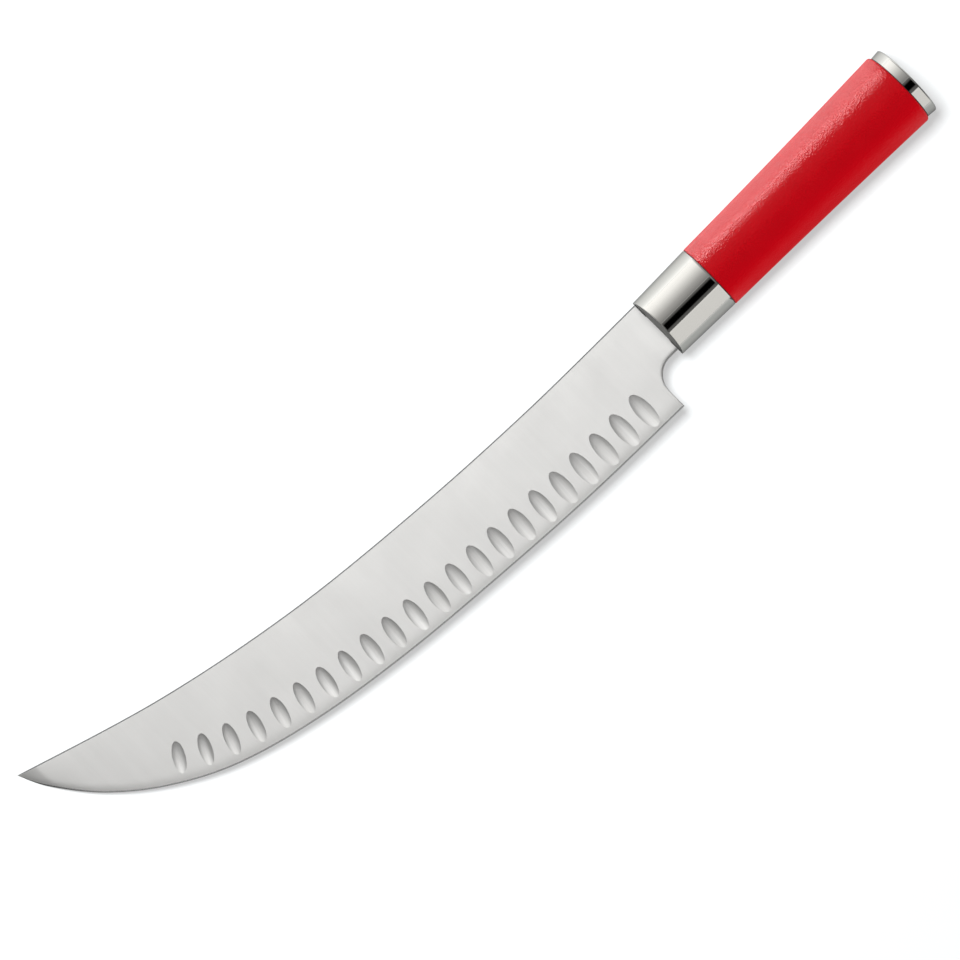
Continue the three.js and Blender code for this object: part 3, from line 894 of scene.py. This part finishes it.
def make_grip():
    """Flared grip with a front spigot, a stepped bore and a rear pocket."""
    flare = []
    for step in range(1, FLARE_STEPS):
        share = step / FLARE_STEPS
        x = mix(GRIP_REAR + GRIP_REAR_ROUND, GRIP_FRONT - GRIP_FRONT_ROUND, share)
        sag = 4 * GRIP_SAG * share * (1 - share)
        flare.append((x, mix(GRIP_REAR_RADIUS, GRIP_FRONT_RADIUS, share) - sag))
    return turn_piece("grip_body", "grip", GRIP_PLASTIC, [
        (GRIP_REAR, POCKET_RADIUS),
        *rounded_corner(GRIP_REAR, GRIP_REAR_RADIUS, GRIP_REAR_ROUND, True),
        *flare,
        *rounded_corner(GRIP_FRONT, GRIP_FRONT_RADIUS, GRIP_FRONT_ROUND, False),
        (GRIP_FRONT, SPIGOT_RADIUS),
        (SPIGOT_FRONT, SPIGOT_RADIUS),
        (SPIGOT_FRONT, FORK_BORE),
        (FORK_BORE_END, FORK_BORE),
        (FORK_BORE_END, ROD_BORE),
        (POCKET_FLOOR, ROD_BORE),
        (POCKET_FLOOR, POCKET_RADIUS),
    ], True)


def make_end_cap():
    """Cap with a spigot for the pocket of the grip."""
    return turn_piece("butt_cap", "end_cap", POLISHED_STEEL, [
        (CAP_REAR, 0),
        (CAP_REAR, CAP_RIM_RADIUS - 2 * CAP_ROUND),
        *rounded_corner(CAP_REAR, CAP_RIM_RADIUS, CAP_ROUND, True),
        *supports((CAP_REAR + CAP_ROUND, CAP_RIM_RADIUS), (CAP_FRONT, CAP_BASE_RADIUS)),
        (CAP_FRONT, CAP_BASE_RADIUS),
        (CAP_FRONT, CAP_SPIGOT_RADIUS),
        (CAP_SPIGOT_FRONT, CAP_SPIGOT_RADIUS),
        (CAP_SPIGOT_FRONT, CAP_SPIGOT_BORE),
        (CAP_FRONT, CAP_SPIGOT_BORE),
        (CAP_FRONT, 0),
    ], False)


def make_gasket(name, node_name, front, beside, inner):
    """A thin ring set back from the surface beside it."""
    rear = front - GASKET_THICKNESS
    outer = beside - GASKET_SETBACK
    return turn_piece(name, node_name, GASKET_RUBBER, [
        (rear, inner), (rear, outer), (front, outer), (front, inner),
    ], True)


def collar_front_ring(ring, slope):
    """The ring bent back on both sides of the blade's plane."""
    return [(x - abs(z) * slope, y, z) for x, y, z in ring]


def slot_ring(x):
    """Ring of points round the tang slot."""
    ring = []
    for _, y, z in turned_ring(x, 1):
        reach = min(SLOT_HEIGHT / 2 / max(abs(y), 1e-9), SLOT_WIDTH / 2 / max(abs(z), 1e-9))
        ring.append((x, y * reach, z * reach))
    return ring


def make_collar():
    """Hollow collar with a tang slot, whose front falls back on both sides of the blade."""
    slope = math.tan(COLLAR_BEVEL)
    outside = rounded_corner(COLLAR_REAR, COLLAR_REAR_RADIUS, COLLAR_ROUND, True)
    front = rounded_corner(COLLAR_FRONT, COLLAR_FRONT_RADIUS, COLLAR_ROUND, False)
    behind, ahead = supports(outside[-1], front[0])
    outside.append(behind)
    front.insert(0, ahead)
    rings = [turned_ring(x, radius) for x, radius in outside]
    rings += [collar_front_ring(turned_ring(x, radius), slope) for x, radius in front]
    rings += [
        collar_front_ring(slot_ring(COLLAR_FRONT), slope),
        slot_ring(COLLAR_FLOOR),
        turned_ring(COLLAR_FLOOR, COLLAR_BORE),
        turned_ring(COLLAR_REAR, COLLAR_BORE),
    ]
    points, faces = lofted(rings, True)
    collar = new_piece("collar_body", points, faces)
    collar.data.materials.append(POLISHED_STEEL)
    collar.data.materials.append(FACED_STEEL_PAINTED_SHADE)
    front_face = len(outside) + len(front) - 1
    for index, face in enumerate(collar.data.polygons):
        if index // TURNED_SIDES == front_face:
            # The front face gets the darkened faced finish, painted shade.
            face.material_index = 1
    close_mesh(collar.data)
    shade_smooth(collar.data, TURNED_CREASE)
    settle(collar, "bolster_collar")
    return collar


def dress_inner_nodes():
    """Pieces inside the handle keep their shape and get their finish."""
    finishes = {
        "tang_bush": BUSH_PLASTIC,
        "tie_rod": ROD_STEEL,
        "tang_rivet_front": ROD_STEEL,
        "tang_rivet_rear": ROD_STEEL,
        "rod_washer": ROD_STEEL,
        "rod_nut": ROD_STEEL,
    }
    for name, finish in finishes.items():
        materials = frame["nodes"][name].data.materials
        materials.clear()
        materials.append(finish)


# Studio

def bare_tree(owner):
    """The empty node tree of a material or a world."""
    owner.use_nodes = True
    owner.node_tree.nodes.clear()
    return owner.node_tree


def lay_sheet(name, corners, material):
    """Flat sheet of the stage, through four corners in metres."""
    mesh = bpy.data.meshes.new(name)
    mesh.from_pydata(corners, [], [(0, 1, 2, 3)])
    mesh.materials.append(material)
    sheet = new_object(name, mesh)
    return sheet


def mirrored_rays(tree, path):
    """1 for rays that come from polished or clear surfaces."""
    return math_node(tree, "MAXIMUM", path["Is Glossy Ray"], path["Is Transmission Ray"])


def lay_table():
    """White table that keeps the knife's shadow. Its own glow is white to the camera and a painted reflection
    in the steel, brighter behind the spine, none close beside the cutting edge and some further out.
    """
    material = bpy.data.materials.new("table_white")
    tree = bare_tree(material)
    path = add_node(tree, "ShaderNodeLightPath").outputs
    across = add_node(tree, "ShaderNodeSeparateXYZ", {"Vector": knife_coordinates(tree)}).outputs["Y"]
    # Painted reflection: how bright the table's glow is in reflections, by place across the knife.
    painted_reflection_level = by_value(tree, across, [
        (-400, 1.55), (-170, 1.35), (-85, 1.05), (-34, 0.65), (-15, 0.5), (0, 0.3), (20, 0.0), (80, 0.0),
        (300, 0.6)])
    seen = math_node(tree, "MULTIPLY_ADD", mirrored_rays(tree, path), painted_reflection_level, path["Is Camera Ray"])
    paper = add_node(tree, "ShaderNodeBsdfDiffuse", {"Color": TABLE_PAPER})
    glow = add_node(tree, "ShaderNodeEmission", {
        "Color": WHITE, "Strength": math_node(tree, "MULTIPLY", seen, TABLE_GLOW)})
    both = add_node(tree, "ShaderNodeAddShader", {0: paper.outputs[0], 1: glow.outputs[0]})
    add_node(tree, "ShaderNodeOutputMaterial", {"Surface": both.outputs[0]})
    reach = TABLE_REACH * MM
    corners = [(-reach, -reach, 0), (reach, -reach, 0), (reach, reach, 0), (-reach, reach, 0)]
    return lay_sheet("table", corners, material)


def lay_card():
    """Glowing grey sheet on the table beside the grip, seen only in reflections: a painted darker reflection
    of the table in the grip.
    """
    material = bpy.data.materials.new("painted_reflection_grey")
    tree = bare_tree(material)
    grey = add_node(tree, "ShaderNodeEmission", {"Color": WHITE, "Strength": CARD_REFLECTION_GREY})
    add_node(tree, "ShaderNodeOutputMaterial", {"Surface": grey.outputs[0]})
    near = GRIP_REAR_RADIUS + CARD_GAP
    places = [KNIFE @ Vector((x, y, 0)) for x, y in (
        (GRIP_REAR + CARD_MARGIN, near), (GRIP_FRONT - CARD_MARGIN, near),
        (GRIP_FRONT - CARD_TAPER, CARD_REACH), (GRIP_REAR + CARD_TAPER, CARD_REACH),
    )]
    card = lay_sheet("grey_card", [(place.x, place.y, CARD_HEIGHT * MM) for place in places], material)
    card.visible_camera = False
    card.visible_diffuse = False
    card.visible_shadow = False


def light_world():
    """Studio seen in the steel: pale behind the spine, dark beside the camera and on the cutting edge's side.

    The camera itself sees a white backdrop.
    """
    world = bpy.data.worlds.new("studio")
    bpy.context.scene.world = world
    tree = bare_tree(world)
    direction = add_node(tree, "ShaderNodeTexCoord").outputs["Generated"]

    def towards(axis):
        return vector_node(tree, "DOT_PRODUCT", {0: direction, 1: axis})["Value"]

    across = math_node(tree, "DEGREES", math_node(tree, "ARCTAN2", towards(ACROSS), towards(THROUGH)))
    along = math_node(tree, "DEGREES", math_node(tree, "ARCSINE", towards(ALONG)))
    walls = by_value(tree, across, [(-90, 0.9), (-45, 0.4), (0, 0.25), (45, 0.05), (90, 0.05)])
    camera_side = by_value(tree, across, [
        (-90, 1.3), (-81, 1.42), (-60, 1.2), (-41, 0.83), (-23, 0.49), (-11.5, 0.36), (-4, 0.26),
        (-2.6, 0.5), (-1.6, 0.13), (3, 0.1), (7, 0.0), (25, 0.0), (27, 0.1), (36, 0.12), (42, 0.0),
        (90, 0.0)])
    beside = by_value(tree, along, [(-9, 0.0), (-7, 1.0), (7, 1.0), (9, 0.0)])
    seen = level_mix(tree, beside, walls, camera_side)
    path = add_node(tree, "ShaderNodeLightPath").outputs
    share = level_mix(tree, mirrored_rays(tree, path), WORLD_FILL, 1.0)
    light = math_node(tree, "MULTIPLY", seen, share)
    strength = level_mix(tree, path["Is Camera Ray"], light, 1.0)
    background = add_node(tree, "ShaderNodeBackground", {"Color": WHITE, "Strength": strength})
    add_node(tree, "ShaderNodeOutputWorld", {"Surface": background.outputs[0]})


def hang_softbox(name, receivers, tilt, lead, distance, width, length, glow,
                 mirrored=True, lights=True, wraps=False, roll=0):
    """Softbox that lights the receivers only, with the brightness glow, and sizes in metres.

    It hangs over the middle of the photograph, tilted by degrees towards the cutting edge and then towards
    the tip, and rolled about its own middle. One that isn't mirrored stays out of the gloss, and one that
    doesn't light shows in the gloss alone. One that wraps reaches below the table, which doesn't block it.
    """
    middle = KNIFE @ Vector((*PHOTO_MIDDLE, 0))
    across, along = math.radians(tilt), math.radians(lead)
    level = ACROSS * math.sin(across) + THROUGH * math.cos(across)
    towards = level * math.cos(along) + ALONG * math.sin(along)
    side = (ALONG - towards * towards.dot(ALONG)).normalized()
    side.rotate(Quaternion(towards, math.radians(roll)))
    aim = Matrix((side, towards.cross(side), towards)).transposed().to_4x4()
    lamp = bpy.data.lights.new(name, "AREA")
    lamp.shape = "RECTANGLE"
    lamp.size = length
    lamp.size_y = width
    lamp.energy = glow * math.pi * width * length
    lamp.cycles.use_multiple_importance_sampling = mirrored
    box = new_object(name, lamp)
    box.matrix_world = Matrix.Translation(middle + towards * distance) @ aim
    box.visible_camera = False
    box.visible_glossy = mirrored
    box.visible_diffuse = lights
    lit = bpy.data.collections.new(name + "_receivers")
    for receiver in receivers:
        lit.objects.link(receiver)
    box.light_linking.receiver_collection = lit
    if wraps:
        box.light_linking.blocker_collection = lit


def light_studio(table, blade, metal, grip):
    """Light of its own for each finish: table, blade, polished steel and grip."""
    hang_softbox(
        "table_softbox", table, tilt=-11.5, lead=0, distance=1.3, width=0.3, length=0.3, glow=172,
        mirrored=False)
    hang_softbox(
        "blade_softbox", blade, tilt=-3.7, lead=-5.5, distance=4.0, width=1.82, length=2.3, glow=1.54,
        roll=20)
    hang_softbox(
        "wall_softbox", blade, tilt=62, lead=0, distance=1.6, width=1.8, length=4.0, glow=0.7)
    hang_softbox(
        "metal_softbox", metal, tilt=68, lead=-4, distance=1.5, width=1.85, length=1.2, glow=0.84)
    hang_softbox(
        "spine_softbox", grip, tilt=-92, lead=-6, distance=1.2, width=1.85, length=0.48, glow=15.8,
        lights=False, wraps=True)
    hang_softbox(
        "top_softbox", grip, tilt=-72, lead=-6, distance=1.2, width=0.6, length=1.0, glow=9.1,
        mirrored=False)
    hang_softbox(
        "edge_softbox", grip, tilt=56, lead=-6, distance=1.2, width=0.7, length=1.4, glow=5.46,
        mirrored=False)


def aim_camera():
    """Camera square to the blade's side, turned as in the photograph."""
    right = Vector((-math.cos(PHOTO_TURN), math.sin(PHOTO_TURN), 0))
    up = Vector((-math.sin(PHOTO_TURN), -math.cos(PHOTO_TURN), 0))
    aim = TURN @ Matrix((right, up, Vector((0, 0, 1)))).transposed()
    data = bpy.data.cameras.new("camera")
    data.sensor_width = SENSOR_WIDTH
    data.lens = SENSOR_WIDTH * CAMERA_DISTANCE / PHOTO_FIELD
    camera = new_object("camera", data)
    camera.matrix_world = Matrix.Translation(KNIFE @ Vector((*PHOTO_MIDDLE, CAMERA_DISTANCE))) @ aim.to_4x4()
    bpy.context.scene.camera = camera


aim_camera()
blade = grind_blade()
metal = [make_collar(), make_end_cap()]
handle = [
    make_gasket("front_gasket", "collar_gasket", COLLAR_GASKET_FRONT, COLLAR_REAR_RADIUS, COLLAR_BORE),
    make_grip(),
    make_gasket("rear_gasket", "cap_gasket", CAP_GASKET_FRONT, CAP_BASE_RADIUS, POCKET_RADIUS),
]
dress_inner_nodes()
light_world()
lay_card()
light_studio([lay_table()], [blade], metal, handle)
bpy.context.scene.view_settings.view_transform = "Standard"
